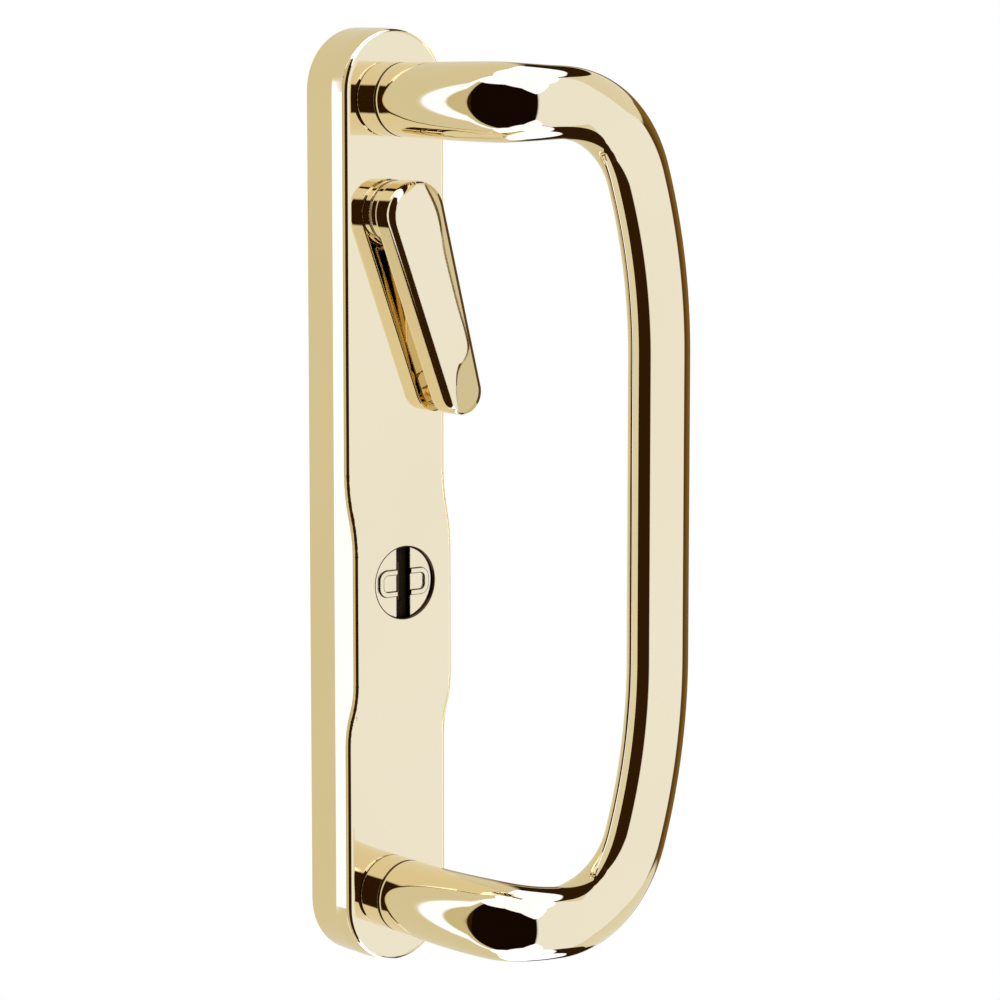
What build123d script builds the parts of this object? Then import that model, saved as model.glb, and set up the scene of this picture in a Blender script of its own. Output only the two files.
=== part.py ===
from build123d import *
import math
import os

# Frame: the door face is Y = 0, the front faces -Y, Z is up and the fixings lie at equal heights above and
# below Z = 0.
# Distances called "off" are measured from the door face toward the front.

# Places along the plate: fixings, lever and cylinder
fixing_spacing = 200.0
fixing_z = fixing_spacing / 2
lever_drop = 28.0
lever_z = fixing_z - lever_drop
cylinder_pitch = 92.0
disc_z = lever_z - cylinder_pitch

# Backplate
end_margin = 17.5
plate_length = fixing_spacing + 2 * end_margin
plate_width = 31.0
plate_off = 16.0
edge_round = 1.6
draft_off = 10.6
draft_lean = 4.3
wall = 2.4
skin = 3.2
floor_off = plate_off - skin
rib_thick = 1.6
rib_off = 2.0

# Bulge over the cylinder
bulge_high = 3.2
bulge_top = disc_z + 28.0
flat_top = disc_z + 7.0
flat_low = disc_z - 24.5
bulge_low = disc_z - 41.0
bulge_off = plate_off + bulge_high

# Stubs
stub_r = 9.2
stub_high = 3.8
stub_round = 0.5
stub_off = plate_off + stub_high

# Pull
post_foot_r = 9.2
post_r = 9.65
elbow_r = 8.65
grip_half_wide = 8.7
grip_half_thick = 5.8
post_run = 9.0
lean_run = 24.2
lean_turn = 11.0
elbow_bend = 14.3
bend_overlap = 3.6
corner_bend = 25.9
corner_turn = 72.2
bow_bend = 146.0
seam_round = 0.6
section_least = 0.002
spigot_r = 6.0
spigot_off = 0.0
spigot_clear = 0.1
bolt_r = 2.5
bolt_deep = 26.0
boss_off = 7.0
boss_r = 11.0
washer_r = 9.5
washer_thick = 1.0
nut_flats = 17.0
nut_thick = 4.0
thread_clear = 0.05

# Lever
lever_tilt = 17.5
head_r = 8.4
tip_r = 5.7
lever_reach = 46.8
lever_back_off = 18.9
lever_front_off = 26.2
lever_round = 2.3
shelf_drop = 1.3
shelf_over = 0.3
knee_rise = 0.8
knee_share = 0.3
land_line = ((0.6, 12.0), (1.5, 5.3), (2.1, -2.0), (2.2, -9.5), (2.25, -18.0), (2.35, -27.0), (2.6, -34.0),
             (1.7, -36.7), (0.2, -38.5), (-1.2, -40.3), (-2.3, -43.0), (-3.2, -46.5), (-4.2, -54.0))
shelf_line = ((3.6, 12.0), (5.2, 4.6), (6.4, -1.2), (5.6, -8.5), (5.1, -17.7), (5.1, -26.5), (5.2, -34.0),
              (4.6, -37.4), (2.8, -39.2), (0.6, -40.6), (-1.0, -42.9), (-2.4, -46.6), (-3.4, -54.2))
collar_r = 8.1
collar_gap = 0.3
lever_shell = 1.7
hollow_deep = 4.6
mark_r = 2.1
mark_high = 0.5
hub_r = 7.0
hub_end_off = 2.4
run_clear = 0.05
bush_wall = 0.75
flange_r = 8.2
flange_thick = 1.0
hub_boss_r = 11.0
hub_boss_off = 8.4
spindle_side = 8.0
spindle_deep = 11.0

# Lever retention
wave_thick = 0.5
wave_r = 9.8
stack_gap = 0.15
cam_thick = 2.0
cam_r = 9.2
cam_tab_r = 12.4
cam_tab_half = 2.5
cam_flat = 5.9
circlip_thick = 1.0
circlip_r = 9.0
groove_deep = 0.8
lever_range = 90.0
stop_clear = 0.4

# Cylinder disc and guard
disc_r = 9.0
disc_sunk = 0.8
disc_flange_r = 10.6
disc_flange_thick = 1.6
lip_off = 15.4
flange_clear = 0.4
disc_gap = 0.15
slot_wide = 4.1
slot_deep = 2.7
key_wide = 3.0
key_tall = 10.0
ring_long = 15.0
ring_tall = 6.7
ring_rim = 1.25
ring_high = 0.55
shutter_thick = 1.0
shutter_clear = 0.05
slit_wide = 1.2
disc_wave_thick = 0.3
guard_clear = 0.6
guard_wide = plate_width - 2 * (wall + guard_clear)
guard_top = disc_z + 12.6
guard_low = disc_z - 31.0
guard_thick = 2.2
plug_r = 8.7
tail_wide = 10.4
tail_drop = 24.8
tail_low = disc_z - tail_drop
screw_inset = 3.8
screw_x = guard_wide / 2 - screw_inset
screw_drop = 18.0
screw_z = disc_z - screw_drop
screw_r = 1.5
screw_head_r = 2.9
screw_head = 1.7
screw_deep = 4.0


def front(off, x=0.0, z=0.0, turn=0.0):
    """Plane parallel to the door, off in front of it; local x runs right, local y up, normal to the front."""
    a = math.radians(turn)
    return Plane(origin=(x, -off, z), x_dir=(math.cos(a), 0, math.sin(a)), z_dir=(0, -1, 0))


def ease(low, high, s):
    """Value that leaves low and reaches high without a corner, for s from 0 to 1."""
    return low + (high - low) * s * s * (3 - 2 * s)


def arm_stations():
    """Centre, turns, half thickness and half width of the pull's sections from the upper foot to the grip's
    middle. The first turn swings the run from the door's normal to the side and the second one lets it fall."""
    lean_end = post_run + lean_run
    elbow_end = lean_end + elbow_bend * math.radians(90 - lean_turn)
    corner_start = elbow_end - bend_overlap
    corner_end = corner_start + corner_bend * math.radians(corner_turn)
    bow_end = corner_end + bow_bend * math.radians(90 - corner_turn)

    def swing(s):
        if s < lean_end:
            return math.radians(lean_turn) * max(0.0, s - post_run) / lean_run
        return min(math.pi / 2, math.radians(lean_turn) + (s - lean_end) / elbow_bend)

    def fall(s):
        if s < corner_end:
            return max(0.0, s - corner_start) / corner_bend
        return min(math.pi / 2, math.radians(corner_turn) + (s - corner_end) / bow_bend)

    marks = [(0.0, post_run, 3), (post_run, lean_end, 5), (lean_end, corner_start, 6),
             (corner_start, elbow_end, 2), (elbow_end, corner_end, 9), (corner_end, bow_end, 5)]
    runs = [low + (high - low) * k / count for low, high, count in marks for k in range(count)] + [bow_end]
    x, off, z, s = 0.0, stub_off, fixing_z, 0.0
    stations = []
    for run in runs:
        steps = 40
        for k in range(steps):
            step = (run - s) / steps
            mid = s + (k + 0.5) * step
            x += step * math.sin(swing(mid)) * math.cos(fall(mid))
            off += step * math.cos(swing(mid)) * math.cos(fall(mid))
            z -= step * math.sin(fall(mid))
        s = run
        wide = ease(post_foot_r, post_r, min(1.0, s / lean_end))
        wide += ease(0.0, elbow_r - post_r, min(1.0, max(0.0, s - lean_end) / (elbow_end - lean_end)))
        flat = min(1.0, max(0.0, s - corner_start) / (corner_end - corner_start))
        thick = wide + ease(0.0, grip_half_thick - elbow_r, flat)
        wide += ease(0.0, grip_half_wide - elbow_r, flat)
        stations.append((x, off, z, swing(s), fall(s), thick, wide))
    for k in range(1, 5):
        stations.append((x, off, z * (1 - k / 4), math.pi / 2, math.pi / 2, grip_half_thick, grip_half_wide))
    return stations


os.makedirs("parts", exist_ok=True)

# Backplate
cavity_length = plate_length - 2 * wall
cavity_width = plate_width - 2 * wall
with BuildPart() as backplate:
    with BuildSketch(front(0)):
        SlotOverall(plate_length, plate_width, rotation=90)
    extrude(amount=draft_off)
    # Front part of the wall, which leans in toward the rim
    lean_in = 2 * (bulge_off + 1 - draft_off) * math.tan(math.radians(draft_lean))
    with BuildSketch(front(draft_off)):
        SlotOverall(plate_length, plate_width, rotation=90)
    with BuildSketch(front(bulge_off + 1)):
        SlotOverall(plate_length - lean_in, plate_width - lean_in, rotation=90)
    loft()
    with BuildSketch(Plane.YZ):
        with BuildLine():
            top = plate_length
            Polyline((-plate_off, bulge_top), (-plate_off, top), (0, top), (0, -top), (-plate_off, -top))
            Line((-plate_off, -top), (-plate_off, bulge_low))
            rise = TangentArc((-plate_off, bulge_low), (-plate_off - bulge_high / 2, (bulge_low + flat_low) / 2),
                              tangent=(0, 1))
            TangentArc(rise @ 1, (-bulge_off, flat_low), tangent=rise % 1)
            Line((-bulge_off, flat_low), (-bulge_off, flat_top))
            fall = TangentArc((-bulge_off, flat_top), (-plate_off - bulge_high / 2, (bulge_top + flat_top) / 2),
                              tangent=(0, 1))
            TangentArc(fall @ 1, (-plate_off, bulge_top), tangent=fall % 1)
        make_face()
    extrude(amount=plate_width, both=True, mode=Mode.INTERSECT)
    rim = backplate.edges().filter_by(lambda e: e.center().Y < -plate_off + 0.5).filter_by(Axis.X, reverse=True)
    fillet(rim, edge_round)
    # Hollow back
    with BuildSketch(front(0)):
        SlotOverall(cavity_length, cavity_width, rotation=90)
    extrude(amount=floor_off, mode=Mode.SUBTRACT)
    # Bosses for the spigots and the lever hub
    for z in (fixing_z, -fixing_z):
        with BuildSketch(front(boss_off, z=z)):
            Circle(boss_r)
        extrude(amount=plate_off - boss_off - 1)
        with BuildSketch(front(plate_off - 1, z=z)):
            Circle(stub_r)
        extrude(amount=stub_high + 1)
    with BuildSketch(front(hub_boss_off, z=lever_z)):
        Circle(hub_boss_r)
    extrude(amount=plate_off - hub_boss_off - 1)
    # Cross ribs, two between the lever and the guard and two between the guard and the lower foot
    hub_low, foot_high = lever_z - cam_tab_r, boss_r - fixing_z
    for z in (ease(hub_low, guard_top, 0.35), ease(hub_low, guard_top, 0.65),
              ease(guard_low, foot_high, 0.35), ease(guard_low, foot_high, 0.65)):
        with BuildSketch(front(rib_off, z=z)):
            Rectangle(cavity_width + 0.4, rib_thick)
        extrude(amount=floor_off - rib_off + 0.4)
    # Stop ribs for the cam, one at each end of its swing
    for turn in (lever_tilt, lever_tilt + lever_range):
        side = -1 if turn == lever_tilt else 1
        with BuildSketch(front(hub_boss_off - 4.0, z=lever_z, turn=turn)) as stop:
            with Locations((side * (cam_tab_half + stop_clear + 1.0), -(cam_r + 0.4 + cam_tab_r + 0.3) / 2)):
                Rectangle(2.0, cam_tab_r + 0.3 - cam_r - 0.4)
        extrude(amount=floor_off - hub_boss_off + 4.2)
    # Bores
    for z in (fixing_z, -fixing_z):
        with BuildSketch(front(boss_off - 0.5, z=z)):
            Circle(spigot_r + spigot_clear)
        extrude(amount=stub_off - boss_off + 1, mode=Mode.SUBTRACT)
    with BuildSketch(front(hub_boss_off - 0.5, z=lever_z)):
        Circle(hub_r + run_clear + bush_wall)
    extrude(amount=plate_off - hub_boss_off + 1, mode=Mode.SUBTRACT)
    with BuildSketch(front(plate_off - flange_thick, z=lever_z)):
        Circle(flange_r)
    extrude(amount=flange_thick + 1, mode=Mode.SUBTRACT)
    with BuildSketch(front(floor_off - 1, z=disc_z)):
        Circle(disc_r + run_clear)
    extrude(amount=bulge_off - floor_off + 2, mode=Mode.SUBTRACT)
    with BuildSketch(front(floor_off - 1, z=disc_z)):
        Circle(disc_flange_r + flange_clear)
    extrude(amount=lip_off - floor_off + 1, mode=Mode.SUBTRACT)
    for x in (screw_x, -screw_x):
        with BuildSketch(front(floor_off - 0.5, x, screw_z)):
            Circle(screw_r)
        extrude(amount=screw_deep + 0.8, mode=Mode.SUBTRACT)
    crowns = [e for e in backplate.edges().filter_by(GeomType.CIRCLE)
              if abs(e.center().Y + stub_off) < 0.01 and abs(e.radius - stub_r) < 0.01]
    fillet(crowns, stub_round)
backplate.part.label = "backplate"
export_step(backplate.part, "parts/backplate.step")

# Pull
with BuildPart() as pull_handle:
    for x, off, z, swing, fall, thick, wide in arm_stations():
        way = (math.sin(swing) * math.cos(fall), -math.cos(swing) * math.cos(fall), -math.sin(fall))
        with BuildSketch(Plane(origin=(x, -off, z), x_dir=(math.cos(swing), math.sin(swing), 0), z_dir=way)):
            Ellipse(thick, max(wide, thick + section_least))
    loft()
    foot = pull_handle.faces().sort_by(Axis.Y)[-1]
    fillet(foot.edges(), seam_round)
    with BuildSketch(front(spigot_off, z=fixing_z)):
        Circle(spigot_r)
    extrude(amount=stub_off - spigot_off + 1)
    with BuildSketch(front(spigot_off - 0.5, z=fixing_z)):
        Circle(bolt_r)
    extrude(amount=bolt_deep + 0.5, mode=Mode.SUBTRACT)
    mirror(about=Plane.XY)
pull_handle.part.label = "pull_handle"
export_step(pull_handle.part, "parts/pull_handle.step")

# Washers and nuts behind the plate
with BuildPart() as foot_washers:
    for z in (fixing_z, -fixing_z):
        with BuildSketch(front(boss_off - washer_thick, z=z)):
            Circle(washer_r)
            Circle(spigot_r + spigot_clear, mode=Mode.SUBTRACT)
        extrude(amount=washer_thick)
foot_washers.part.label = "foot_washers"
export_step(foot_washers.part, "parts/foot_washers.step")

nut_face = boss_off - washer_thick
with BuildPart() as foot_nuts:
    for z in (fixing_z, -fixing_z):
        with BuildSketch(front(nut_face - nut_thick, z=z)):
            RegularPolygon(nut_flats / 2, 6, major_radius=False)
            Circle(spigot_r + thread_clear, mode=Mode.SUBTRACT)
        extrude(amount=nut_thick)
foot_nuts.part.label = "foot_nuts"
export_step(foot_nuts.part, "parts/foot_nuts.step")

# Lever
cam_back_off = hub_boss_off - 2 * stack_gap - wave_thick - cam_thick
clip_back_off = cam_back_off - stack_gap - circlip_thick
with BuildPart() as lever:
    with BuildSketch(front(lever_back_off, z=lever_z, turn=lever_tilt)):
        Circle(head_r)
        with Locations((0, -lever_reach)):
            Circle(tip_r)
        make_hull()
    extrude(amount=lever_front_off - lever_back_off)
    crown = lever.faces().sort_by(Axis.Y)[0].edges()
    fillet(crown, lever_round)
    # Lower shelf along the right side, widening to a pad at the tip, with a kneed slope up to the raised front
    over_share = 1 + shelf_over * (1 - knee_share) / (shelf_drop - knee_rise)
    for rise, share in ((0.0, 0.0), (knee_rise, knee_share), (shelf_drop + shelf_over, over_share)):
        pairs = zip(land_line, shelf_line)
        edge = [(bx + (ax - bx) * share, by + (ay - by) * share) for (ax, ay), (bx, by) in pairs]
        with BuildSketch(front(lever_front_off - shelf_drop + rise, z=lever_z, turn=lever_tilt)):
            with BuildLine():
                step = Spline(*edge)
                Polyline(step @ 1, (head_r + 6.0, edge[-1][1]), (head_r + 6.0, edge[0][1]), step @ 0)
            make_face()
    loft(ruled=True, mode=Mode.SUBTRACT)
    # Hollow back with the round mark
    with BuildSketch(front(lever_back_off, z=lever_z, turn=lever_tilt)):
        Circle(head_r - lever_shell)
        with Locations((0, -lever_reach)):
            Circle(tip_r - lever_shell)
        make_hull()
        Circle(collar_r + 1.2, mode=Mode.SUBTRACT)
    extrude(amount=hollow_deep, mode=Mode.SUBTRACT)
    with BuildSketch(front(lever_back_off + hollow_deep - mark_high, z=lever_z, turn=lever_tilt)):
        with Locations((0, -lever_reach + 2.0)):
            Circle(mark_r)
    extrude(amount=mark_high + 0.2)
    # Collar, hub and socket
    with BuildSketch(front(plate_off + collar_gap, z=lever_z)):
        Circle(collar_r)
    extrude(amount=lever_back_off - plate_off - collar_gap + 0.5)
    with BuildSketch(front(hub_end_off, z=lever_z)):
        Circle(hub_r)
    extrude(amount=plate_off - hub_end_off + collar_gap + 0.5)
    with BuildSketch(front(hub_end_off, z=lever_z, turn=lever_tilt)):
        Circle(hub_r + 1)
        Rectangle(2 * cam_flat, 2 * hub_r + 2, mode=Mode.SUBTRACT)
    extrude(amount=cam_back_off + cam_thick - hub_end_off, mode=Mode.SUBTRACT)
    with BuildSketch(front(clip_back_off, z=lever_z)):
        Circle(hub_r + 1)
        Circle(hub_r - groove_deep, mode=Mode.SUBTRACT)
    extrude(amount=circlip_thick, mode=Mode.SUBTRACT)
    with BuildSketch(front(hub_end_off - 0.5, z=lever_z)):
        Rectangle(spindle_side, spindle_side)
    extrude(amount=spindle_deep + 0.5, mode=Mode.SUBTRACT)
lever.part.label = "lever"
export_step(lever.part, "parts/lever.step")

with BuildPart() as lever_bush:
    with BuildSketch(front(hub_boss_off, z=lever_z)):
        Circle(hub_r + run_clear + bush_wall)
        Circle(hub_r + run_clear, mode=Mode.SUBTRACT)
    extrude(amount=plate_off - hub_boss_off)
    with BuildSketch(front(plate_off - flange_thick, z=lever_z)):
        Circle(flange_r)
        Circle(hub_r + run_clear, mode=Mode.SUBTRACT)
    extrude(amount=flange_thick)
lever_bush.part.label = "lever_bush"
export_step(lever_bush.part, "parts/lever_bush.step")

with BuildPart() as lever_wave_washer:
    with BuildSketch(front(hub_boss_off - stack_gap / 2 - wave_thick, z=lever_z)):
        Circle(wave_r)
        Circle(hub_r + 0.4, mode=Mode.SUBTRACT)
    extrude(amount=wave_thick)
lever_wave_washer.part.label = "lever_wave_washer"
export_step(lever_wave_washer.part, "parts/lever_wave_washer.step")

with BuildPart() as stop_cam:
    with BuildSketch(front(cam_back_off, z=lever_z, turn=lever_tilt)):
        Circle(cam_r)
        with Locations((0, -cam_tab_r / 2)):
            Rectangle(2 * cam_tab_half, cam_tab_r)
        Circle(cam_tab_r, mode=Mode.INTERSECT)
        with BuildSketch(mode=Mode.PRIVATE) as hub_hole:
            Circle(hub_r + 0.05)
            Rectangle(2 * cam_flat + 0.1, 2 * hub_r + 2, mode=Mode.INTERSECT)
        add(hub_hole.sketch, mode=Mode.SUBTRACT)
    extrude(amount=cam_thick)
stop_cam.part.label = "stop_cam"
export_step(stop_cam.part, "parts/stop_cam.step")

with BuildPart() as lever_circlip:
    with BuildSketch(front(clip_back_off + 0.1, z=lever_z, turn=lever_tilt)):
        Circle(circlip_r)
        Circle(hub_r - groove_deep + 0.1, mode=Mode.SUBTRACT)
        with Locations((0, circlip_r / 2 + 2)):
            Rectangle(3.0, circlip_r + 3, mode=Mode.SUBTRACT)
    extrude(amount=circlip_thick - 0.2)
lever_circlip.part.label = "lever_circlip"
export_step(lever_circlip.part, "parts/lever_circlip.step")

# Disc over the cylinder
disc_front_off = bulge_off - disc_sunk
flange_front = lip_off - disc_gap
with BuildPart() as key_disc:
    with BuildSketch(front(flange_front - disc_flange_thick, z=disc_z)):
        Circle(disc_flange_r)
    extrude(amount=disc_flange_thick)
    with BuildSketch(front(flange_front - 0.5, z=disc_z)):
        Circle(disc_r)
    extrude(amount=disc_front_off - flange_front + 0.5)
    with BuildSketch(front(disc_front_off - 0.3, z=disc_z)):
        RectangleRounded(ring_long, ring_tall, ring_tall * 0.36)
        RectangleRounded(ring_long - 2 * ring_rim, ring_tall - 2 * ring_rim, (ring_tall - 2 * ring_rim) * 0.3,
                         mode=Mode.SUBTRACT)
    extrude(amount=ring_high + 0.3)
    with BuildSketch(front(disc_front_off - slot_deep, z=disc_z)):
        Rectangle(slot_wide, 2 * disc_r + 1)
    extrude(amount=slot_deep + 1, mode=Mode.SUBTRACT)
    with BuildSketch(front(flange_front - disc_flange_thick - 0.5, z=disc_z)):
        Rectangle(key_wide, key_tall)
    extrude(amount=bulge_off - flange_front + 2, mode=Mode.SUBTRACT)
key_disc.part.label = "key_disc"
export_step(key_disc.part, "parts/key_disc.step")

# Dark shutter at the bottom of the slot, slit for the key
with BuildPart() as key_shutter:
    with BuildSketch(front(disc_front_off - slot_deep, z=disc_z)):
        Circle(disc_r - shutter_clear)
        Rectangle(slot_wide - 2 * shutter_clear, 2 * disc_r, mode=Mode.INTERSECT)
        Rectangle(slit_wide, key_tall, mode=Mode.SUBTRACT)
    extrude(amount=shutter_thick)
key_shutter.part.label = "key_shutter"
export_step(key_shutter.part, "parts/key_shutter.step")

disc_back = flange_front - disc_flange_thick
with BuildPart() as disc_wave_ring:
    with BuildSketch(front((floor_off + disc_back - disc_wave_thick) / 2, z=disc_z)):
        Circle(disc_flange_r - 0.1)
        Circle(plug_r + 0.2, mode=Mode.SUBTRACT)
    extrude(amount=disc_wave_thick)
disc_wave_ring.part.label = "disc_wave_ring"
export_step(disc_wave_ring.part, "parts/disc_wave_ring.step")

# Guard plate behind the disc
with BuildPart() as guard_plate:
    with BuildSketch(front(floor_off - guard_thick, z=(guard_top + guard_low) / 2)):
        RectangleRounded(guard_wide, guard_top - guard_low, 3.0)
    extrude(amount=guard_thick)
    with BuildSketch(front(floor_off - guard_thick - 0.5, z=disc_z)):
        Circle(plug_r)
        with Locations((0, (tail_low - disc_z + tail_wide / 2) / 2)):
            Rectangle(tail_wide, disc_z - tail_low - tail_wide / 2)
        with Locations((0, tail_low - disc_z + tail_wide / 2)):
            Circle(tail_wide / 2)
    extrude(amount=guard_thick + 1, mode=Mode.SUBTRACT)
    for x in (screw_x, -screw_x):
        with BuildSketch(front(floor_off - guard_thick - 0.5, x, screw_z)):
            Circle(screw_r + 0.15)
        extrude(amount=guard_thick + 1, mode=Mode.SUBTRACT)
guard_plate.part.label = "guard_plate"
export_step(guard_plate.part, "parts/guard_plate.step")

with BuildPart() as guard_screws:
    for x in (screw_x, -screw_x):
        with BuildSketch(front(floor_off - guard_thick - screw_head, x, screw_z)):
            Circle(screw_head_r)
        extrude(amount=screw_head)
        with BuildSketch(front(floor_off - guard_thick - 0.2, x, screw_z)):
            Circle(screw_r - 0.05)
        extrude(amount=guard_thick + screw_deep)
        with BuildSketch(front(floor_off - guard_thick - screw_head - 0.5, x, screw_z)):
            RegularPolygon(1.0, 6)
        extrude(amount=1.4, mode=Mode.SUBTRACT)
guard_screws.part.label = "guard_screws"
export_step(guard_screws.part, "parts/guard_screws.step")
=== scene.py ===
"""Looks of the patio door handle: polished gold castings, plated fittings and a white studio."""
import math

import bpy
import numpy as np
from bpy.props import FloatProperty, FloatVectorProperty, IntProperty, PointerProperty
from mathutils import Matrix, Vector


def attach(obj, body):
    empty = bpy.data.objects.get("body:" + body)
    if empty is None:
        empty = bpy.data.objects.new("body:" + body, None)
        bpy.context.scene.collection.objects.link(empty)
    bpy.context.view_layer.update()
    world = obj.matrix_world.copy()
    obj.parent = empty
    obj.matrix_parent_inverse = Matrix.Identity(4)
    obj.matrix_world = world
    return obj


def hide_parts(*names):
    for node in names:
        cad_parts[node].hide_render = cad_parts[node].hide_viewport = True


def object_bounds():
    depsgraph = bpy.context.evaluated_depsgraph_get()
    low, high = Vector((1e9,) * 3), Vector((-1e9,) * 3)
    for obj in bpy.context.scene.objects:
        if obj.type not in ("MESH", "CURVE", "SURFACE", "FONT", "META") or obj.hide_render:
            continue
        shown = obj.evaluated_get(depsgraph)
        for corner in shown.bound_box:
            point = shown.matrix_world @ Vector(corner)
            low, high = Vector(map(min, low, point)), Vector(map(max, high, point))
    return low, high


bl_info = {
    "name": "Patio Door Handle",
    "version": (1, 0, 0),
    "blender": (4, 5, 0),
    "location": "3D View > Sidebar > Handle",
    "description": "Finishes a cranked patio door pull in polished gold and sets it in a white studio",
    "category": "Object",
}

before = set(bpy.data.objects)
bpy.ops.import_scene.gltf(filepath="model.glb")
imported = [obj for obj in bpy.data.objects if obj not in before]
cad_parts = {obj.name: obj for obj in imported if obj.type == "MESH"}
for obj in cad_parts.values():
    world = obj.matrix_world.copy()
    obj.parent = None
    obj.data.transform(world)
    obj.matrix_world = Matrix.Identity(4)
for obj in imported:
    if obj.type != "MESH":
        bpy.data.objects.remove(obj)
CAD_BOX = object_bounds()

# CAD nodes by finish
PLATED_NODES = ("foot_washers", "foot_nuts", "guard_screws", "stop_cam")
SPRING_NODES = ("lever_wave_washer", "lever_circlip", "disc_wave_ring")

# Light of the panels and flags that the gold mirrors
TAN, GOLD, EDGE = (0.77, 0.74, 0.63), (0.68, 0.63, 0.47), (0.84, 0.84, 0.8)
CREAM, WHITE, BROWN = (0.98, 1.06, 1.32), (1.25, 1.42, 2.2), (0.22, 0.125, 0.032)
DEEP, DARK = (0.085, 0.037, 0.006), (0.03, 0.013, 0.003)
FLAG, BLACK = (0.024, 0.0105, 0.0022), (0.008, 0.003, 0.001)

# Colours of painted shade, dark in the seams, the disc's gap and edges and darker gold on the lever's shelf, and of
# the floor
SHADOW, SHADED_SHELF, PAPER = (0.07, 0.035, 0.01), (0.64, 0.49, 0.21), (0.85, 0.85, 0.85)

# Places of painted shade in metres: the seam under the pull's feet, the gap round the disc and the front of the
# lever's shelf
SEAM_OFF, SEAM_HALF, FEET_FROM = 0.0198, 0.0004, 0.085
DISC_Z, DISC_RIM, SHELF_OFF = -0.02, 0.0093, 0.0252

# Soft edges of the masks of painted shade, in metres along a place and as parts of a unit normal
SEAM_SOFT, PLACE_SOFT = 0.0002, 0.0001
DISC_FACING, DISC_SOFT, SHELF_FACING, SHELF_SOFT = 0.96, 0.06, -0.95, 0.04

# The lever's outline between its two circles, in metres
LEVER_Z, LEVER_TILT, LEVER_REACH, HEAD_R, TIP_R = 0.072, math.radians(17.5), 0.0468, 0.0084, 0.0057

# Rounding of the shelf's rim: its distance inside the outline, its radius and the share of it that is used
RIM_INSET, RIM_ROUND, RIM_SHARE = 0.00023, 0.002, 0.7

# Radii that ease the edges of the disc and the lever, in metres
DISC_EASE, LEVER_EASE = 0.0004, 0.0007

# Clouds in the gold, their relief, and what all metals share: finer buffing marks, spread of gloss, depth of relief
GOLD_CLOUDS, GOLD_RELIEF = 18.0, 0.012
BUFF_FINER, BUFF_GLOSS, BUFF_DEPTH = 14.0, (0.75, 1.3), 0.0002

# Moulded plastic: level of its shine, then scale, spread of gloss, strength and depth of its grain
PLASTIC_SHINE = 0.06
GRAIN_SCALE, GRAIN_GLOSS, GRAIN_RELIEF, GRAIN_DEPTH = 900.0, (0.85, 1.15), 0.15, 0.0001

# Range of noise that is used, tone of a fitting's denser clouds, half of the floor's side and distance of the sheets
NOISE_LOW, NOISE_HIGH, DENSER, FLOOR_HALF, SHEET_AWAY = 0.3, 0.7, 0.85, 1.2, 4.0


class HandlePull(bpy.types.PropertyGroup):
    """Sizes of the pull in millimetres and degrees, as in the solid."""

    foot_off: FloatProperty(name="Foot", description="Distance of the feet from the door", default=19.8)
    foot_z: FloatProperty(name="Foot height", description="Height of the upper foot", default=100.0)
    foot_r: FloatProperty(name="Foot radius", description="Radius at the seam", default=9.2)
    post_r: FloatProperty(name="Post radius", description="Largest radius of the post", default=9.65)
    elbow_r: FloatProperty(name="Elbow radius", description="Radius after the elbow", default=8.65)
    half_wide: FloatProperty(name="Half width", description="Half width of the grip", default=8.7)
    half_thick: FloatProperty(name="Half thickness", description="Half thickness of the grip", default=5.8)
    post_run: FloatProperty(name="Post run", description="Straight part of the post", default=9.0)
    lean_run: FloatProperty(name="Lean run", description="Part of the post that leans sideways", default=24.2)
    lean_turn: FloatProperty(name="Lean turn", description="Turn of the leaning part", default=11.0)
    elbow_bend: FloatProperty(name="Elbow bend", description="Bend radius of the elbow", default=14.3)
    overlap: FloatProperty(name="Overlap", description="Run where elbow and corner bend together", default=3.6)
    corner_bend: FloatProperty(name="Corner bend", description="Bend radius of the corner", default=25.9)
    corner_turn: FloatProperty(name="Corner turn", description="Turn of the corner", default=72.2)
    bow_bend: FloatProperty(name="Bow bend", description="Bend radius between corner and grip", default=146.0)
    seam: FloatProperty(name="Seam", description="Rounding of the foot's rim", default=0.6)
    spigot_r: FloatProperty(name="Spigot", description="Radius of the spigot in the plate", default=6.0)
    bolt_r: FloatProperty(name="Bolt", description="Radius of the tapped hole", default=2.5)
    bolt_deep: FloatProperty(name="Bolt depth", description="Depth of the tapped hole", default=26.0)
    around: IntProperty(name="Around", description="Faces round a section", default=112)
    step: FloatProperty(name="Step", description="Length of a face along the pull", default=0.6)


class HandleFinish(bpy.types.PropertyGroup):
    """Colours and polish of the handle's finishes."""

    gold: FloatVectorProperty(
        name="Gold", description="Colour of the gold plate", subtype="COLOR", default=(0.86, 0.73, 0.45))
    gold_deep: FloatVectorProperty(
        name="Deep gold", description="Colour of the plate's denser clouds", subtype="COLOR",
        default=(0.845, 0.708, 0.425))
    polish: FloatProperty(
        name="Polish", description="Roughness of the polished gold", subtype="FACTOR", default=0.02, min=0.0, max=1.0)
    zinc: FloatVectorProperty(
        name="Zinc", description="Colour of the zinc-plated fittings", subtype="COLOR", default=(0.62, 0.64, 0.67))
    spring: FloatVectorProperty(
        name="Spring steel", description="Colour of the rings and washers", subtype="COLOR",
        default=(0.3, 0.29, 0.28))
    guard: FloatVectorProperty(
        name="Guard", description="Colour of the hardened plate", subtype="COLOR", default=(0.16, 0.165, 0.18))
    nylon: FloatVectorProperty(
        name="Nylon", description="Colour of the bearing", subtype="COLOR", default=(0.72, 0.54, 0.26))
    shutter: FloatVectorProperty(
        name="Shutter", description="Colour of the shutter in the slot", subtype="COLOR",
        default=(0.02, 0.0095, 0.0025))


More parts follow.
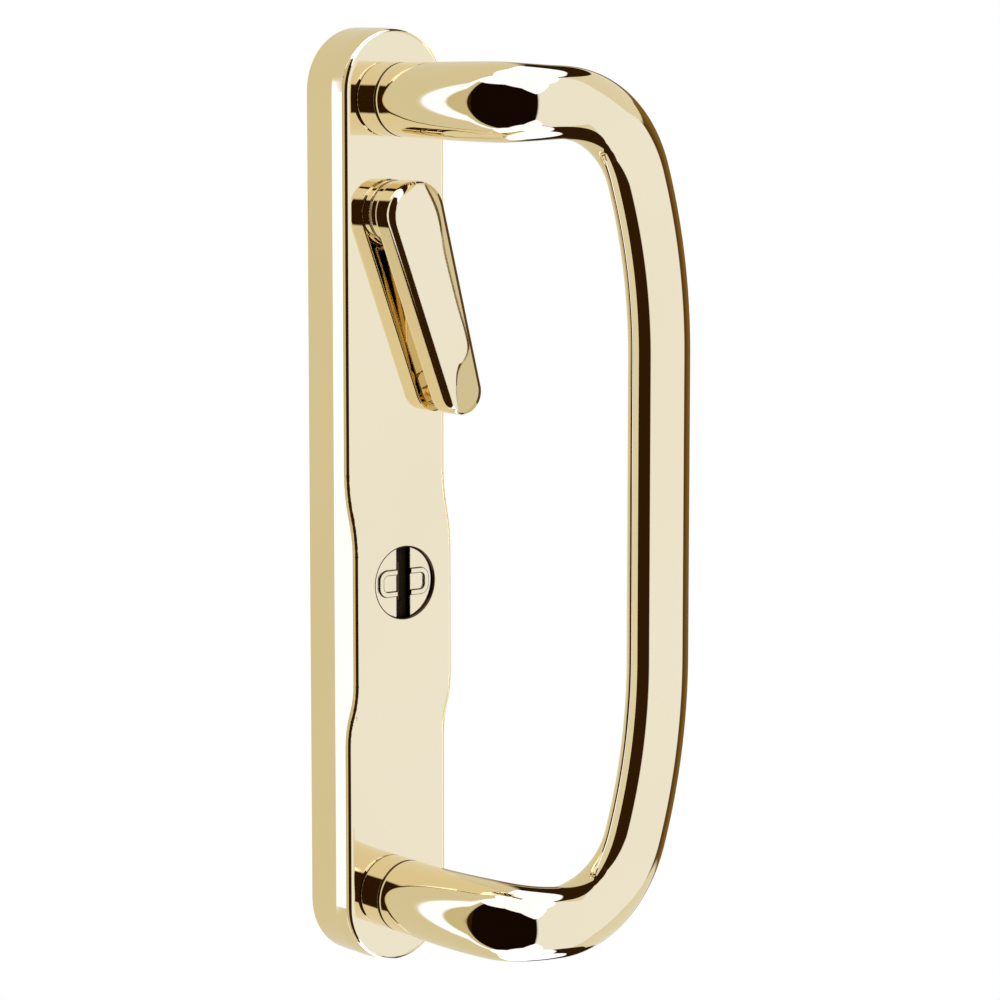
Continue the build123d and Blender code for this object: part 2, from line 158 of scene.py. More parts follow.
class HandleStudio(bpy.types.PropertyGroup):
    """Camera and floor of the studio."""

    azimuth: FloatProperty(
        name="Azimuth", description="Camera's turn round the handle", subtype="ANGLE",
        default=math.radians(-37.63))
    elevation: FloatProperty(
        name="Elevation", description="Camera's height angle", subtype="ANGLE", default=math.radians(7.57))
    distance: FloatProperty(
        name="Distance", description="Camera to handle", subtype="DISTANCE", default=0.922)
    lens: FloatProperty(
        name="Lens", description="Focal length in millimetres on a 36 mm sensor", default=132.6)
    aim: FloatVectorProperty(
        name="Aim", description="Point that the camera looks at", subtype="XYZ", default=(0.0216, -0.03, 0.0002))
    floor_drop: FloatProperty(
        name="Floor drop", description="Floor below the handle's lowest point", subtype="DISTANCE", default=0.15)


def ease(x):
    """Smooth step 3x^2 - 2x^3 on x held to 0..1."""
    x = np.clip(x, 0.0, 1.0)
    return x * x * (3.0 - 2.0 * x)


def ring(radii, offs, z, count):
    """Grid of circles about an axis along Y: P(i, t) = (r_i cos t, -off_i, z + r_i sin t)."""
    t = np.linspace(0.0, 2.0 * np.pi, count, endpoint=False)
    r, off = np.asarray(radii, float)[:, None], np.asarray(offs, float)[:, None]
    return np.stack([r * np.cos(t), -off + 0.0 * t, z + r * np.sin(t)], axis=2)


def pull_grid(size):
    """Grid P(s, t) = C(s) + a(s) cos t U(s) + b(s) sin t V(s) of the whole pull, in mm, with its runs s.

    The centre C follows the direction (sin f cos g, -cos f cos g, -sin g). The swing f(s) grows along the leaning
    post and the elbow and the fall g(s) along the corner and the bow. U = (cos f, sin f, 0) and V is square to it.
    """
    lean, corner = math.radians(size.lean_turn), math.radians(size.corner_turn)
    lean_end = size.post_run + size.lean_run
    elbow_end = lean_end + size.elbow_bend * (math.pi / 2 - lean)
    corner_start = elbow_end - size.overlap
    corner_end = corner_start + size.corner_bend * corner
    bow_end = corner_end + size.bow_bend * (math.pi / 2 - corner)
    s = np.linspace(0.0, bow_end + size.foot_z, 4000)
    f = np.where(s < lean_end, lean * np.clip((s - size.post_run) / size.lean_run, 0, 1),
                 np.clip(lean + (s - lean_end) / size.elbow_bend, 0, math.pi / 2))
    g = np.where(s < corner_end, np.clip((s - corner_start) / size.corner_bend, 0, corner),
                 np.clip(corner + (s - corner_end) / size.bow_bend, 0, math.pi / 2))
    way = np.stack([np.sin(f) * np.cos(g), -np.cos(f) * np.cos(g), -np.sin(g)], axis=1)
    moves = np.concatenate([np.zeros((1, 3)), np.cumsum((way[1:] + way[:-1]) / 2 * (s[1] - s[0]), axis=0)])
    centre = np.array([0.0, -size.foot_off, size.foot_z]) + moves
    length = np.interp(0.0, -centre[:, 2], s)
    runs = np.linspace(0.0, length, int(length / size.step))
    f, g = np.interp(runs, s, f), np.interp(runs, s, g)
    centre = np.stack([np.interp(runs, s, centre[:, k]) for k in range(3)], axis=1)
    wide = size.foot_r + (size.post_r - size.foot_r) * ease(runs / lean_end)
    wide += (size.elbow_r - size.post_r) * ease((runs - lean_end) / (elbow_end - lean_end))
    flat = ease((runs - corner_start) / (corner_end - corner_start))
    thick = wide + (size.half_thick - size.elbow_r) * flat
    wide = wide + (size.half_wide - size.elbow_r) * flat
    rim = np.clip(1.0 - runs / size.seam, 0.0, 1.0)
    inset = size.seam * (1.0 - np.sqrt(1.0 - rim * rim))
    way = np.stack([np.sin(f) * np.cos(g), -np.cos(f) * np.cos(g), -np.sin(g)], axis=1)
    u = np.stack([np.cos(f), np.sin(f), 0.0 * f], axis=1)
    v = np.cross(way, u)
    t = np.linspace(0.0, 2.0 * np.pi, size.around, endpoint=False)[None, :, None]
    half = (centre[:, None] + (thick - inset)[:, None, None] * np.cos(t) * u[:, None]
            + (wide - inset)[:, None, None] * np.sin(t) * v[:, None])
    lower = half[::-1] * (1.0, 1.0, -1.0)
    return np.concatenate([half, lower[1:]]), runs, lean_end, corner_start


def grid_normals(grid):
    """Unit normals of a grid that is closed across its rows, from central differences."""
    along = np.gradient(grid, axis=0)
    across = np.roll(grid, -1, axis=1) - np.roll(grid, 1, axis=1)
    normal = np.cross(across, along)
    normal /= np.maximum(np.linalg.norm(normal, axis=2, keepdims=True), 1e-12)
    middle = grid.mean(axis=1, keepdims=True)
    return normal * np.sign((normal * (grid - middle)).sum(axis=(1, 2)))[:, None, None]


def grid_piece(name, blocks, mat):
    """Object of grids in mm that close across their rows, each block a pair of points and normals."""
    points, faces, normals, first = [], [], [], 0
    for grid, normal in blocks:
        rows, cols = grid.shape[:2]
        i, j = np.meshgrid(np.arange(rows - 1), np.arange(cols), indexing="ij")
        k = (j + 1) % cols
        corners = [i * cols + j, i * cols + k, (i + 1) * cols + k, (i + 1) * cols + j]
        quads = np.stack(corners, axis=2).reshape(-1, 4)
        flat = grid.reshape(-1, 3)
        turn = np.cross(flat[quads[:, 1]] - flat[quads[:, 0]], flat[quads[:, 3]] - flat[quads[:, 0]])
        if (turn * normal.reshape(-1, 3)[quads[:, 0]]).sum() < 0:
            quads = quads[:, ::-1]
        points.append(flat * 0.001)
        normals.append(normal.reshape(-1, 3))
        faces.append(quads + first)
        first += rows * cols
    mesh = bpy.data.meshes.new(name)
    mesh.from_pydata(np.concatenate(points).tolist(), [], np.concatenate(faces).tolist())
    mesh.polygons.foreach_set("use_smooth", np.ones(len(mesh.polygons), dtype=bool))
    mesh.normals_split_custom_set_from_vertices(np.concatenate(normals).tolist())
    mesh.materials.append(mat)
    piece = bpy.data.objects.new(name, mesh)
    bpy.context.scene.collection.objects.link(piece)
    return piece


def new_material(name):
    """Material with an empty tree; returns it with its nodes, links and output."""
    mat = bpy.data.materials.new(name)
    mat.use_nodes = True
    tree = mat.node_tree
    tree.nodes.clear()
    return mat, tree.nodes, tree.links, tree.nodes.new("ShaderNodeOutputMaterial")


def clouds(nodes, links, scale, detail):
    """Noise on object coordinates; returns its value socket."""
    coord = nodes.new("ShaderNodeTexCoord")
    noise = nodes.new("ShaderNodeTexNoise")
    noise.inputs["Scale"].default_value = scale
    noise.inputs["Detail"].default_value = detail
    links.new(coord.outputs["Object"], noise.inputs["Vector"])
    return noise.outputs["Fac"]


def span(nodes, links, value, low, high):
    """Noise from its used range mapped to low..high; returns its socket."""
    node = nodes.new("ShaderNodeMapRange")
    node.inputs["From Min"].default_value = NOISE_LOW
    node.inputs["From Max"].default_value = NOISE_HIGH
    node.inputs["To Min"].default_value = low
    node.inputs["To Max"].default_value = high
    links.new(value, node.inputs["Value"])
    return node.outputs["Result"]


def maths(nodes, links, operation, first, second):
    """Math node on sockets or numbers; returns its value socket."""
    node = nodes.new("ShaderNodeMath")
    node.operation = operation
    for socket, value in zip(node.inputs, (first, second)):
        if isinstance(value, (int, float)):
            socket.default_value = value
        else:
            links.new(value, socket)
    return node.outputs["Value"]


def held(nodes, links, value, low, high):
    """Value held between two limits; returns its socket."""
    node = nodes.new("ShaderNodeClamp")
    node.inputs["Min"].default_value = low
    node.inputs["Max"].default_value = high
    links.new(value, node.inputs["Value"])
    return node.outputs["Result"]


def place(nodes, links):
    """Object coordinates as X, Y and Z sockets."""
    coord = nodes.new("ShaderNodeTexCoord")
    split = nodes.new("ShaderNodeSeparateXYZ")
    links.new(coord.outputs["Object"], split.inputs["Vector"])
    return [split.outputs[axis] for axis in "XYZ"]


def under(nodes, links, value, limit, soft):
    """Mask that is 1 where a value stays under a limit, with an edge of the given width."""
    node = nodes.new("ShaderNodeMapRange")
    node.inputs["From Min"].default_value = limit + soft / 2
    node.inputs["From Max"].default_value = limit - soft / 2
    links.new(value, node.inputs["Value"])
    return node.outputs["Result"]


def seam_shade(nodes, links):
    """Mask of painted shade in the groove where the pull's feet meet the stubs."""
    _, y, z = place(nodes, links)
    away = maths(nodes, links, "ABSOLUTE", maths(nodes, links, "ADD", y, SEAM_OFF), 0.0)
    far = maths(nodes, links, "GREATER_THAN", maths(nodes, links, "ABSOLUTE", z, 0.0), FEET_FROM)
    return maths(nodes, links, "MULTIPLY", under(nodes, links, away, SEAM_HALF, SEAM_SOFT), far)


def norm(nodes, links, first, second):
    """Length of a vector from its two parts."""
    squares = [maths(nodes, links, "MULTIPLY", part, part) for part in (first, second)]
    return maths(nodes, links, "SQRT", maths(nodes, links, "ADD", *squares), 0.0)


def plate_shade(nodes, links):
    """Mask of painted shade in the seams under the feet and in the gap round the disc."""
    x, _, z = place(nodes, links)
    radius = norm(nodes, links, x, maths(nodes, links, "SUBTRACT", z, DISC_Z))
    gap = under(nodes, links, radius, DISC_RIM, PLACE_SOFT)
    return maths(nodes, links, "MAXIMUM", gap, seam_shade(nodes, links))


def eased(nodes, radius):
    """Normal that eases edges by a radius in metres."""
    node = nodes.new("ShaderNodeBevel")
    node.samples = 8
    node.inputs["Radius"].default_value = radius
    return node.outputs["Normal"]


def disc_normal(nodes, links):
    """Normal of the disc, whose edges are barely eased."""
    return eased(nodes, DISC_EASE)


def disc_shade(nodes, links):
    """Mask of painted shade on the disc's edges and walls, which don't look along Y."""
    split = nodes.new("ShaderNodeSeparateXYZ")
    links.new(disc_normal(nodes, links), split.inputs["Vector"])
    facing = maths(nodes, links, "ABSOLUTE", split.outputs["Y"], 0.0)
    return under(nodes, links, facing, DISC_FACING, DISC_SOFT)


def shelf_shade(nodes, links):
    """Mask of the lever's lower shelf, which faces the front behind the step, where a darker gold is painted as
    shade.
    """
    split = nodes.new("ShaderNodeSeparateXYZ")
    links.new(nodes.new("ShaderNodeNewGeometry").outputs["Normal"], split.inputs["Vector"])
    front = under(nodes, links, split.outputs["Y"], SHELF_FACING, SHELF_SOFT)
    _, y, _ = place(nodes, links)
    off = maths(nodes, links, "MULTIPLY", y, -1.0)
    lower = under(nodes, links, off, SHELF_OFF, PLACE_SOFT)
    return maths(nodes, links, "MULTIPLY", front, lower)


def lever_normal(nodes, links):
    """Normal of the lever, with its shelf rounded off to the rim.

    With c across and w along the lever, t = (w - |c| b) / L held to 0..1 names the nearest circle between head and
    tip, where b is how much the radius shrinks per length. The rim is d = r(t) - |(c, w - t L)| away and the shelf
    falls by R (1 - sqrt(1 - s^2)) where s is the used share less d / R, held to 0..1.
    """
    def math_of(operation, first, second):
        return maths(nodes, links, operation, first, second)

    def turned(operation, first, second):
        return math_of(operation, math_of("MULTIPLY", x, first), math_of("MULTIPLY", drop, second))

    x, _, z = place(nodes, links)
    drop = math_of("SUBTRACT", LEVER_Z, z)
    across = turned("SUBTRACT", math.cos(LEVER_TILT), math.sin(LEVER_TILT))
    along = turned("ADD", math.sin(LEVER_TILT), math.cos(LEVER_TILT))
    narrow = HEAD_R - TIP_R
    skew = math_of("MULTIPLY", math_of("ABSOLUTE", across, 0.0), narrow / LEVER_REACH)
    share = math_of("DIVIDE", math_of("SUBTRACT", along, skew), LEVER_REACH)
    share = held(nodes, links, share, 0.0, 1.0)
    past_centre = math_of("SUBTRACT", along, math_of("MULTIPLY", share, LEVER_REACH))
    over = math_of("ADD", norm(nodes, links, across, past_centre), math_of("MULTIPLY", share, narrow))
    into = math_of("SUBTRACT", over, HEAD_R - RIM_INSET - RIM_SHARE * RIM_ROUND)
    s = held(nodes, links, math_of("DIVIDE", into, RIM_ROUND), 0.0, 1.0)
    level = math_of("SQRT", math_of("SUBTRACT", 1.0, math_of("MULTIPLY", s, s)), 0.0)
    relief = nodes.new("ShaderNodeBump")
    relief.inputs["Distance"].default_value = RIM_ROUND
    links.new(math_of("MULTIPLY", level, shelf_shade(nodes, links)), relief.inputs["Height"])
    links.new(eased(nodes, LEVER_EASE), relief.inputs["Normal"])
    return relief.outputs["Normal"]


def metal(name, colour, deep, roughness, scale, bump, edge=None, shade=None, tone=SHADOW):
    """Metal whose colour drifts to a deeper one in soft clouds, with buffing marks in its gloss and relief.

    An edge function gives a normal that eases edges sharper than the casting's own. A shade function gives a mask
    that paints shade by turning the colour to the given tone.
    """
    mat, nodes, links, out = new_material(name)
    shader = nodes.new("ShaderNodeBsdfPrincipled")
    shader.inputs["Metallic"].default_value = 1.0
    mix = nodes.new("ShaderNodeMix")
    mix.data_type = "RGBA"
    mix.inputs["A"].default_value = (*colour, 1.0)
    mix.inputs["B"].default_value = (*deep, 1.0)
    links.new(span(nodes, links, clouds(nodes, links, scale, 2.0), 0.0, 1.0), mix.inputs["Factor"])
    fine = clouds(nodes, links, scale * BUFF_FINER, 3.0)
    gloss = span(nodes, links, fine, *(roughness * share for share in BUFF_GLOSS))
    links.new(gloss, shader.inputs["Roughness"])
    relief = nodes.new("ShaderNodeBump")
    relief.inputs["Strength"].default_value = bump
    relief.inputs["Distance"].default_value = BUFF_DEPTH
    links.new(fine, relief.inputs["Height"])
    if edge:
        links.new(edge(nodes, links), relief.inputs["Normal"])
    tint = mix.outputs["Result"]
    if shade:
        dim = nodes.new("ShaderNodeMix")
        dim.data_type = "RGBA"
        links.new(shade(nodes, links), dim.inputs["Factor"])
        links.new(tint, dim.inputs["A"])
        dim.inputs["B"].default_value = (*tone, 1.0)
        tint = dim.outputs["Result"]
    links.new(tint, shader.inputs["Base Color"])
    links.new(relief.outputs["Normal"], shader.inputs["Normal"])
    links.new(shader.outputs["BSDF"], out.inputs["Surface"])
    return mat


def plastic(name, colour, roughness):
    """Moulded plastic with a fine grain."""
    mat, nodes, links, out = new_material(name)
    shader = nodes.new("ShaderNodeBsdfPrincipled")
    shader.inputs["Base Color"].default_value = (*colour, 1.0)
    shader.inputs["Specular IOR Level"].default_value = PLASTIC_SHINE
    grain = clouds(nodes, links, GRAIN_SCALE, 2.0)
    gloss = span(nodes, links, grain, *(roughness * share for share in GRAIN_GLOSS))
    links.new(gloss, shader.inputs["Roughness"])
    relief = nodes.new("ShaderNodeBump")
    relief.inputs["Strength"].default_value = GRAIN_RELIEF
    relief.inputs["Distance"].default_value = GRAIN_DEPTH
    links.new(grain, relief.inputs["Height"])
    links.new(relief.outputs["Normal"], shader.inputs["Normal"])
    links.new(shader.outputs["BSDF"], out.inputs["Surface"])
    return mat


def dress(names, mat):
    """Gives CAD nodes their finish."""
    for name in names:
        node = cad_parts[name]
        node.data.materials.clear()
        node.data.materials.append(mat)


def ramp(nodes, stops):
    """Colour ramp from (position, colour) stops."""
    node = nodes.new("ShaderNodeValToRGB")
    points = node.color_ramp.elements
    while len(points) < len(stops):
        points.new(0.5)
    for point, (position, colour) in zip(points, stops):
        point.position = position
        point.color = (*colour, 1.0)
    return node


def at(degrees):
    """Place of an azimuth on a ramp, -180 to 180 degrees on 0 to 1."""
    return degrees / 360 + 0.5


def heights(nodes, limits):
    """Ramp of heights in degrees by azimuth, as shares of a right angle."""
    return ramp(nodes, [(at(turn), (height / 90,) * 3) for turn, height in limits])


def bearing(nodes, links, vector):
    """Azimuth from the front as a share of a turn and height as a share of a right angle, of a unit vector."""
    split = nodes.new("ShaderNodeSeparateXYZ")
    links.new(vector, split.inputs["Vector"])
    flip = maths(nodes, links, "MULTIPLY", split.outputs["Y"], -1.0)
    turn = maths(nodes, links, "ARCTAN2", split.outputs["X"], flip)
    share = maths(nodes, links, "ADD", maths(nodes, links, "MULTIPLY", turn, 0.5 / math.pi), 0.5)
    tilt = maths(nodes, links, "ARCSINE", split.outputs["Z"], 0.0)
    return share, maths(nodes, links, "MULTIPLY", tilt, 2.0 / math.pi)


def bearing_vector(turn, rise):
    """Unit vector of an azimuth from the front and a height, both in radians."""
    return Vector((math.sin(turn) * math.cos(rise), -math.cos(turn) * math.cos(rise), math.sin(rise)))


def past(nodes, links, height, limit):
    """Mask that is 1 where a height passes a limit, with an edge of one degree."""
    over = maths(nodes, links, "SUBTRACT", height, limit.outputs["Color"])
    soft = maths(nodes, links, "ADD", maths(nodes, links, "MULTIPLY", over, 90.0), 0.5)
    return held(nodes, links, soft, 0.0, 1.0)


class HANDLE_OT_gold(bpy.types.Operator):
    """Finishes the plate, the lever and the disc in polished gold"""

    bl_idname = "handle.gold"
    bl_label = "Polished gold castings"

    def execute(self, context):
        look = context.scene.handle_finish
        # Painted shade on each casting: the plate's seams and disc gap, the disc's edges and walls, and the lever's
        # shelf
        for node, edge, shade, tone in (
                ("backplate", None, plate_shade, SHADOW), ("key_disc", disc_normal, disc_shade, SHADOW),
                ("lever", lever_normal, shelf_shade, SHADED_SHELF)):
            gold = metal(node + "_gold", look.gold, look.gold_deep, look.polish, GOLD_CLOUDS, GOLD_RELIEF,
                         edge, shade, tone)
            dress((node,), gold)
        return {"FINISHED"}


class HANDLE_OT_pull(bpy.types.Operator):
    """Builds the cranked pull: two posts with their spigots, two elbows and the bow between them"""

    bl_idname = "handle.pull"
    bl_label = "Cranked pull"

    def execute(self, context):
        size = context.scene.handle_pull
        look = context.scene.handle_finish
        # The pull's gold gets painted shade in the seam at its feet.
        gold = metal("handle_gold", look.gold, look.gold_deep, look.polish, GOLD_CLOUDS, GOLD_RELIEF,
                     shade=seam_shade)
        grid, runs, lean_end, corner_start = pull_grid(size)
        normals = grid_normals(grid)
        cut, bend = (int(np.searchsorted(runs, end)) for end in (lean_end, corner_start))
        rows = len(grid)

        def part(first, last):
            return grid[first:last], normals[first:last]

        bow = grid_piece("pull_bow", [part(bend, rows - bend)], gold)
        elbows = grid_piece("pull_elbows", [part(cut, bend + 1), part(rows - bend - 1, rows - cut)], gold)
        blocks = [part(0, cut + 1), part(rows - cut - 1, rows)]
        for z in (size.foot_z, -size.foot_z):
            blocks += self.spigot(size, z)
        posts = grid_piece("pull_posts", blocks, gold)
        bow.visible_glossy = elbows.visible_glossy = False
        for piece in (bow, elbows, posts):
            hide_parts("pull_handle")
            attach(piece, "plate_body")
        return {"FINISHED"}

    def spigot(self, size, z):
        """Foot face, spigot and tapped hole as rings that share no corners, so their edges stay crisp."""
        back = np.array([0.0, 1.0, 0.0])
        flats = [((size.spigot_r, size.foot_r - size.seam), (size.foot_off,) * 2),
                 ((size.bolt_r, size.spigot_r), (0.0, 0.0)),
                 ((0.0, size.bolt_r), (size.bolt_deep,) * 2)]
        walls = [((size.spigot_r,) * 2, (0.0, size.foot_off), 1.0),
                 ((size.bolt_r,) * 2, (0.0, size.bolt_deep), -1.0)]
        blocks = []
        for radii, offs in flats:
            grid = ring(radii, offs, z, size.around)
            blocks.append((grid, np.broadcast_to(back, grid.shape)))
        for radii, offs, side in walls:
            grid = ring(radii, offs, z, size.around)
            out = grid - np.array([0.0, 0.0, z])
            out[..., 1] = 0.0
            blocks.append((grid, side * out / radii[0]))
        return blocks


class HANDLE_OT_fittings(bpy.types.Operator):
    """Finishes the fittings behind the plate and the shutter in the slot"""

    bl_idname = "handle.fittings"
    bl_label = "Plated fittings"

    def execute(self, context):
        look = context.scene.handle_finish
        for nodes, name, colour, roughness, scale, bump in (
                (PLATED_NODES, "zinc_plate", look.zinc, 0.3, 60.0, 0.1),
                (SPRING_NODES, "spring_steel", look.spring, 0.35, 90.0, 0.1),
                (("guard_plate",), "hardened_steel", look.guard, 0.4, 70.0, 0.15)):
            denser = [DENSER * c for c in colour]
            dress(nodes, metal(name, colour, denser, roughness, scale, bump))
        dress(("lever_bush",), plastic("nylon", look.nylon, 0.45))
        dress(("key_shutter",), plastic("black_plastic", look.shutter, 0.4))
        return {"FINISHED"}


class HANDLE_OT_studio(bpy.types.Operator):
    """Sets the floor, the light round the handle and the camera"""

    bl_idname = "handle.studio"
    bl_label = "White studio"

    def execute(self, context):
        scene = context.scene
        studio = scene.handle_studio
        scene.view_settings.view_transform = "Standard"
        self.floor(studio)
        self.surround(scene)
        self.lamps(scene)
        self.camera(scene, studio)
        return {"FINISHED"}

    def floor(self, studio):
        """Flat square under the handle, seen white by the camera."""
        z = CAD_BOX[0].z - studio.floor_drop
        corners = [(x * FLOOR_HALF, y * FLOOR_HALF, z) for x, y in ((-1, -1), (1, -1), (1, 1), (-1, 1))]
        mesh = bpy.data.meshes.new("studio_floor")
        mesh.from_pydata(corners, [], [(0, 1, 2, 3)])
        floor = bpy.data.objects.new("studio_floor", mesh)
        bpy.context.scene.collection.objects.link(floor)
        mat, nodes, links, out = new_material("floor_paper")
        paper = nodes.new("ShaderNodeBsdfDiffuse")
        paper.inputs["Color"].default_value = (*PAPER, 1.0)
        white = nodes.new("ShaderNodeEmission")
        path = nodes.new("ShaderNodeLightPath")
        mix = nodes.new("ShaderNodeMixShader")
        links.new(path.outputs["Is Camera Ray"], mix.inputs["Fac"])
        links.new(paper.outputs["BSDF"], mix.inputs[1])
        links.new(white.outputs["Emission"], mix.inputs[2])
        links.new(mix.outputs["Shader"], out.inputs["Surface"])
        mesh.materials.append(mat)
        floor.visible_glossy = False

    def surround(self, scene):
        """Panels by azimuth, pale past gilt and sill and capped past roof and ground, but white to the camera."""
        world = bpy.data.worlds.new("studio_surround")
        scene.world = world
        world.use_nodes = True
        nodes, links = world.node_tree.nodes, world.node_tree.links
        nodes.clear()
        out = nodes.new("ShaderNodeOutputWorld")
        coord = nodes.new("ShaderNodeTexCoord")
        share, rise = bearing(nodes, links, coord.outputs["Generated"])
        fall = maths(nodes, links, "MULTIPLY", rise, -1.0)
        panels = ramp(nodes, [
            (at(-180), TAN), (at(-138), TAN), (at(-137), WHITE), (at(-129), WHITE), (at(-128), GOLD),
            (at(-121), GOLD), (at(-120), BLACK), (at(-27.5), BLACK), (at(-26.5), CREAM), (at(73), CREAM),
            (at(75), DEEP), (at(100), BROWN), (at(141), BROWN), (at(143), TAN), (at(180), TAN)])
        caps = ramp(nodes, [
            (at(-180), TAN), (at(-133), TAN), (at(-131), DARK), (at(141), DARK), (at(143), TAN),
            (at(180), TAN)])
        gilt = heights(nodes, [
            (-180, 90), (60, 90), (62, 6), (77, 9), (98, 18), (142, 18), (143, 90), (180, 90)])
        sill = heights(nodes, [(-180, 90), (60, 90), (62, 19), (98, 21), (142, 21), (143, 90), (180, 90)])
        roof = heights(nodes, [
            (-180, 70), (-131, 66), (-95, 70), (-26, 60), (1, 71), (33, 74), (54, 69), (73, 62), (95, 48), (132, 23),
            (142, 20), (143, 70), (180, 70)])
        ground = heights(nodes, [
            (-180, 72), (-130, 66), (-95, 70), (-26, 60), (1, 71), (33, 72), (68, 60), (85, 53), (107, 46), (138, 23),
            (142, 20), (143, 72), (180, 72)])
        for node in (panels, caps, gilt, sill, roof, ground):
            links.new(share, node.inputs["Fac"])
        joined = panels.outputs["Color"]
        for height, limit, colour in (
                (rise, gilt, EDGE), (fall, sill, EDGE), (rise, roof, caps), (fall, ground, caps)):
            layer = nodes.new("ShaderNodeMix")
            layer.data_type = "RGBA"
            links.new(past(nodes, links, height, limit), layer.inputs["Factor"])
            links.new(joined, layer.inputs["A"])
            if isinstance(colour, tuple):
                layer.inputs["B"].default_value = (*colour, 1.0)
            else:
                links.new(colour.outputs["Color"], layer.inputs["B"])
            joined = layer.outputs["Result"]
        light = nodes.new("ShaderNodeBackground")
        links.new(joined, light.inputs["Color"])
        backdrop = nodes.new("ShaderNodeBackground")
        backdrop.inputs["Color"].default_value = (1, 1, 1, 1)
        path = nodes.new("ShaderNodeLightPath")
        mix = nodes.new("ShaderNodeMixShader")
        links.new(path.outputs["Is Camera Ray"], mix.inputs["Fac"])
        links.new(light.outputs["Background"], mix.inputs[1])
        links.new(backdrop.outputs["Background"], mix.inputs[2])
        links.new(mix.outputs["Shader"], out.inputs["Surface"])

    def mirrors(self, name, pieces):
        """Collection of the pieces that mirror a lamp."""
        group = bpy.data.collections.new(name)
        for piece in pieces:
            group.objects.link(piece)
        return group

    def lamps(self, scene):
        """White sheets above and below that all but the bow mirror, and upright ones for the pieces they name.

        Only the bow mirrors flag_left and sheet_left, and only the plate sheet_edge and sheet_right. The lever, the
        plate and the posts mirror flag_shade, which turns their black bands brown.
        """
        plate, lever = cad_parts["backplate"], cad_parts["lever"]
        bow, posts = bpy.data.objects["pull_bow"], bpy.data.objects["pull_posts"]
        rest = self.mirrors("sheet_mirrors", [bow])
        rest.collection_objects[0].light_linking.link_state = "EXCLUDE"
        alone = self.mirrors("flag_mirrors", [bow])
        edge = self.mirrors("edge_mirrors", [plate])
        shaded = self.mirrors("shade_mirrors", [lever, plate, posts])
        above = [(-180, 67), (-133, 66), (-131, 48), (-112, 48), (-77, 52), (-48, 44), (-29, 26), (-22, 32), (-1, 58),
                 (54, 70), (95, 62), (131, 51), (142, 47), (145, 53), (151, 60), (161, 66), (180, 67)]
        below = [(-180, 67), (-166, 70), (-134, 64), (-131, 65), (-95, 72), (-46, 66), (-26, 51), (1, 71), (93, 72),
                 (101, 66), (138, 40), (143, 38), (151, 51), (166, 63), (180, 67)]
        for name, turn, rise, across, tall, colour, mirrors, limits in (
                ("sheet_above", 0, 90, 20.0, 20.0, WHITE, rest, above),
                ("sheet_below", 0, -90, 20.0, 20.0, WHITE, rest, below),
                ("flag_left", -54, 0, 4.08, 20.0, FLAG, alone, None),
                ("flag_shade", -73.75, 0, 8.36, 20.0, FLAG, shaded, None),
                ("sheet_left", -101.5, 0, 2.83, 60.0, EDGE, alone, None),
                ("sheet_edge", -99.5, 0, 2.83, 20.0, GOLD, edge, None),
                ("sheet_right", 101, 0, 6.0, 4.0, GOLD, edge, None)):
            toward = bearing_vector(math.radians(turn), math.radians(rise))
            data = bpy.data.lights.new(name, "AREA")
            data.shape = "RECTANGLE"
            data.size, data.size_y = across, tall
            data.energy = math.pi * across * tall * max(colour)
            data.color = [c / max(colour) for c in colour]
            if limits:
                self.trim(data, limits, 1.0 if rise > 0 else -1.0)
            lamp = bpy.data.objects.new(name, data)
            lamp.location = toward * SHEET_AWAY
            lamp.rotation_mode = "QUATERNION"
            lamp.rotation_quaternion = (-toward).to_track_quat("-Z", "Y")
            lamp.visible_camera = False
            lamp.light_linking.receiver_collection = mirrors
            scene.collection.objects.link(lamp)

    def trim(self, data, limits, side):
        """Lets a sheet shine only past its limit of height at each azimuth."""
        data.use_nodes = True
        nodes, links = data.node_tree.nodes, data.node_tree.links
        nodes.clear()
        spot = nodes.new("ShaderNodeNewGeometry")
        unit = nodes.new("ShaderNodeVectorMath")
        unit.operation = "NORMALIZE"
        links.new(spot.outputs["Position"], unit.inputs[0])
        share, rise = bearing(nodes, links, unit.outputs["Vector"])
        limit = heights(nodes, limits)
        links.new(share, limit.inputs["Fac"])
        glow = nodes.new("ShaderNodeEmission")
        height = maths(nodes, links, "MULTIPLY", rise, side)
        links.new(past(nodes, links, height, limit), glow.inputs["Strength"])
        links.new(glow.outputs["Emission"], nodes.new("ShaderNodeOutputLight").inputs["Surface"])

    def camera(self, scene, studio):
        """Camera on a sphere round its aim."""
        data = bpy.data.cameras.new("photo_camera")
        data.sensor_width = 36.0
        data.lens = studio.lens
        data.clip_start, data.clip_end = 0.05, 20.0
        camera = bpy.data.objects.new("photo_camera", data)
        scene.collection.objects.link(camera)
        back = bearing_vector(studio.azimuth, studio.elevation)
        camera.location = Vector(studio.aim) + back * studio.distance
        camera.rotation_mode = "QUATERNION"
        camera.rotation_quaternion = (-back).to_track_quat("-Z", "Y")
        scene.camera = camera


OPERATORS = (HANDLE_OT_gold, HANDLE_OT_pull, HANDLE_OT_fittings, HANDLE_OT_studio)


class HANDLE_PT_panel(bpy.types.Panel):
    """Lists the handle's operators"""

    bl_idname = "HANDLE_PT_panel"
    bl_label = "Patio Door Handle"
    bl_space_type = "VIEW_3D"
    bl_region_type = "UI"
    bl_category = "Handle"

    def draw(self, context):
        for step in OPERATORS:
            self.layout.operator(step.bl_idname)


CLASSES = (HandlePull, HandleFinish, HandleStudio, *OPERATORS, HANDLE_PT_panel)


def register():
    for cls in CLASSES:
        bpy.utils.register_class(cls)
    bpy.types.Scene.handle_pull = PointerProperty(type=HandlePull)
    bpy.types.Scene.handle_finish = PointerProperty(type=HandleFinish)
    bpy.types.Scene.handle_studio = PointerProperty(type=HandleStudio)


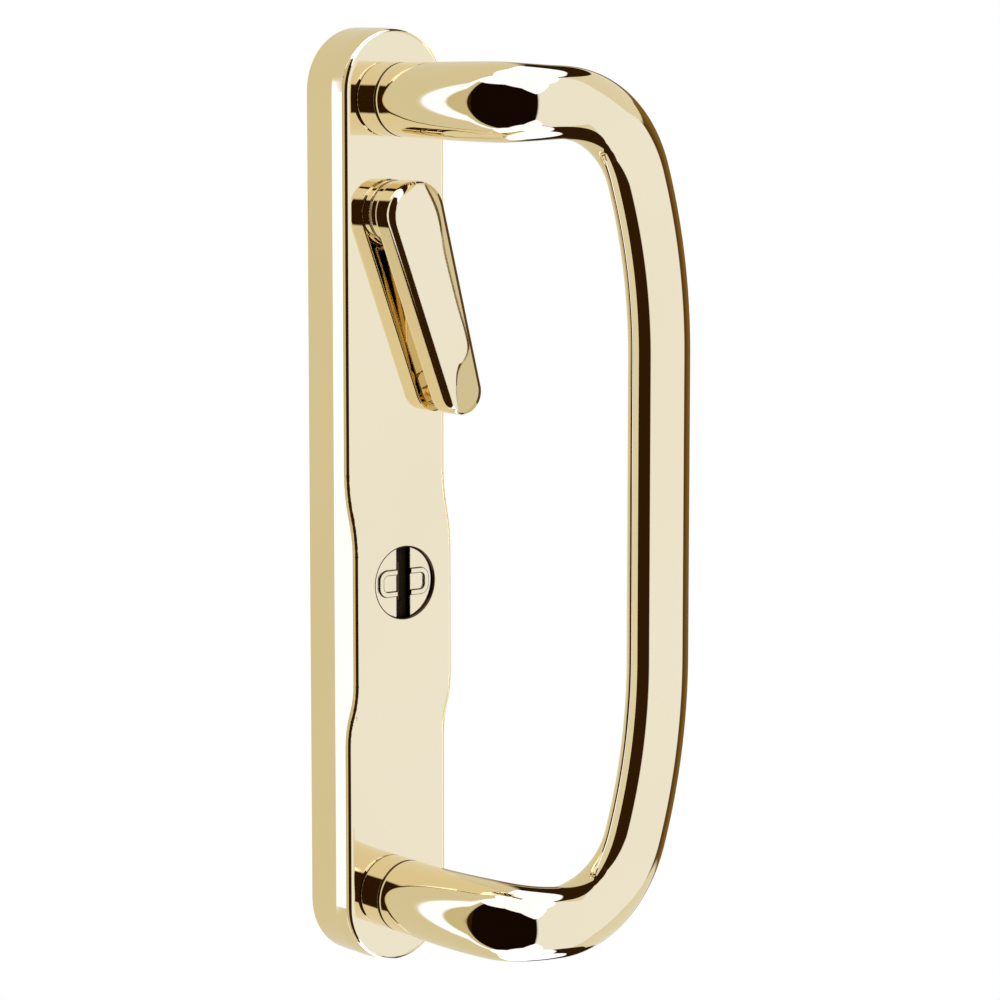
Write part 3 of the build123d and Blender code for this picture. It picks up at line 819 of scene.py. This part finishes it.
def unregister():
    del bpy.types.Scene.handle_studio
    del bpy.types.Scene.handle_finish
    del bpy.types.Scene.handle_pull
    for cls in reversed(CLASSES):
        bpy.utils.unregister_class(cls)


def main():
    register()
    bpy.ops.handle.gold()
    bpy.ops.handle.pull()
    bpy.ops.handle.fittings()
    bpy.ops.handle.studio()


if __name__ == "__main__":
    main()
